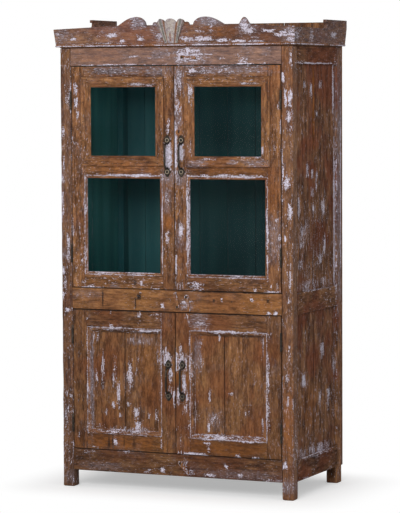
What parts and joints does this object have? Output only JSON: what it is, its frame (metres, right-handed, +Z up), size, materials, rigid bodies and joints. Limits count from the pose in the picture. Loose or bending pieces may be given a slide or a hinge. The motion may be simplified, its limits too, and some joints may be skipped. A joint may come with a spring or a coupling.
{
  "type": "display cabinet",
  "caption": "Tall rustic display cabinet with glazed doors over panelled doors, carved crest, leaning cornice, iron pulls and wooden turn buttons.",
  "frame": {"origin": "on the floor, under the middle of the whole cabinet's box", "axes": "+Z up, -Y out of the front with the doors, +X to the right as seen from the front"},
  "size_m": [1.076, 0.5882, 1.948],
  "materials": {
    "worn_brown_wood": "old worn wood, matt",
    "dark_brown_wood": "dark weathered wood, matt",
    "teal_painted_wood": "dark teal paint, satin",
    "pale_painted_wood": "flaking pale paint, matt",
    "old_iron": "aged dark iron",
    "clear_glass": "clear flat glass"
  },
  "bodies": {
    "case": {"post_front_left": "worn_brown_wood", "post_front_right": "worn_brown_wood", "post_rear_left": "worn_brown_wood", "post_rear_right": "worn_brown_wood", "front_top_rail": "worn_brown_wood", "front_mid_rail": "worn_brown_wood", "left_side_rails": "worn_brown_wood", "right_side_rails": "worn_brown_wood", "left_upper_panel": "worn_brown_wood", "left_lower_panel": "worn_brown_wood", "right_upper_panel": "worn_brown_wood", "right_lower_panel": "worn_brown_wood", "crest_board": "worn_brown_wood", "left_gallery_board": "worn_brown_wood", "right_gallery_board": "worn_brown_wood", "front_base_rail": "dark_brown_wood", "door_stops": "dark_brown_wood", "rear_rails": "dark_brown_wood", "back_planks": "dark_brown_wood", "top_board": "dark_brown_wood", "shelf_cleats": "dark_brown_wood", "middle_floor": "teal_painted_wood", "cabinet_floor": "teal_painted_wood", "upper_shelf": "teal_painted_wood", "lower_shelf": "teal_painted_wood", "crest_shell": "pale_painted_wood", "cornice_bead": "pale_painted_wood", "hinge_fixed_leaves": "old_iron", "hinge_pins": "old_iron", "button_screws": "old_iron"},
    "upper_left_door": {"upper_left_stiles": "worn_brown_wood", "upper_left_rails": "worn_brown_wood", "upper_left_pane_frame": "worn_brown_wood", "upper_left_beads": "pale_painted_wood", "upper_left_panes": "clear_glass", "upper_left_handle": "old_iron", "upper_left_hinge_leaves": "old_iron"},
    "lower_left_door": {"lower_left_stiles": "worn_brown_wood", "lower_left_rails": "worn_brown_wood", "lower_left_moulding": "pale_painted_wood", "lower_left_panel": "worn_brown_wood", "lower_left_handle": "old_iron", "lower_left_hinge_leaves": "old_iron"},
    "upper_right_door": {"upper_right_stiles": "worn_brown_wood", "upper_right_rails": "worn_brown_wood", "upper_right_pane_frame": "worn_brown_wood", "upper_right_beads": "pale_painted_wood", "upper_right_panes": "clear_glass", "upper_right_handle": "old_iron", "upper_right_hinge_leaves": "old_iron"},
    "lower_right_door": {"lower_right_stiles": "worn_brown_wood", "lower_right_rails": "worn_brown_wood", "lower_right_moulding": "pale_painted_wood", "lower_right_panel": "worn_brown_wood", "lower_right_handle": "old_iron", "lower_right_hinge_leaves": "old_iron"},
    "button_top_body": {"button_top": "worn_brown_wood"},
    "button_mid_upper_body": {"button_mid_upper": "worn_brown_wood"},
    "button_mid_lower_body": {"button_mid_lower": "worn_brown_wood"},
    "button_base_body": {"button_base": "worn_brown_wood"}
  },
  "joints": [
    {"name": "upper_left_door_hinge", "type": "hinge", "parent": "case", "child": "upper_left_door", "pos_m": [-0.4677, -0.2669, 1.29], "axis": [0, 0, -1], "range_deg": [0, 165]},
    {"name": "lower_left_door_hinge", "type": "hinge", "parent": "case", "child": "lower_left_door", "pos_m": [-0.4677, -0.2669, 0.45], "axis": [0, 0, -1], "range_deg": [0, 165]},
    {"name": "upper_right_door_hinge", "type": "hinge", "parent": "case", "child": "upper_right_door", "pos_m": [0.4677, -0.2669, 1.29], "axis": [0, 0, 1], "range_deg": [0, 165]},
    {"name": "lower_right_door_hinge", "type": "hinge", "parent": "case", "child": "lower_right_door", "pos_m": [0.4677, -0.2669, 0.45], "axis": [0, 0, 1], "range_deg": [0, 165]},
    {"name": "button_top_pivot", "type": "hinge", "parent": "case", "child": "button_top_body", "pos_m": [0.039, -0.2663, 1.781], "axis": [0, 1, 0], "range_deg": [0, 78]},
    {"name": "button_mid_upper_pivot", "type": "hinge", "parent": "case", "child": "button_mid_upper_body", "pos_m": [0.053, -0.2663, 0.809], "axis": [0, -1, 0], "range_deg": [0, 180]},
    {"name": "button_mid_lower_pivot", "type": "hinge", "parent": "case", "child": "button_mid_lower_body", "pos_m": [0.012, -0.2663, 0.767], "axis": [0, -1, 0], "range_deg": [0, 180]},
    {"name": "button_base_pivot", "type": "hinge", "parent": "case", "child": "button_base_body", "pos_m": [0.022, -0.2663, 0.126], "axis": [0, -1, 0], "range_deg": [0, 174]}
  ]
}
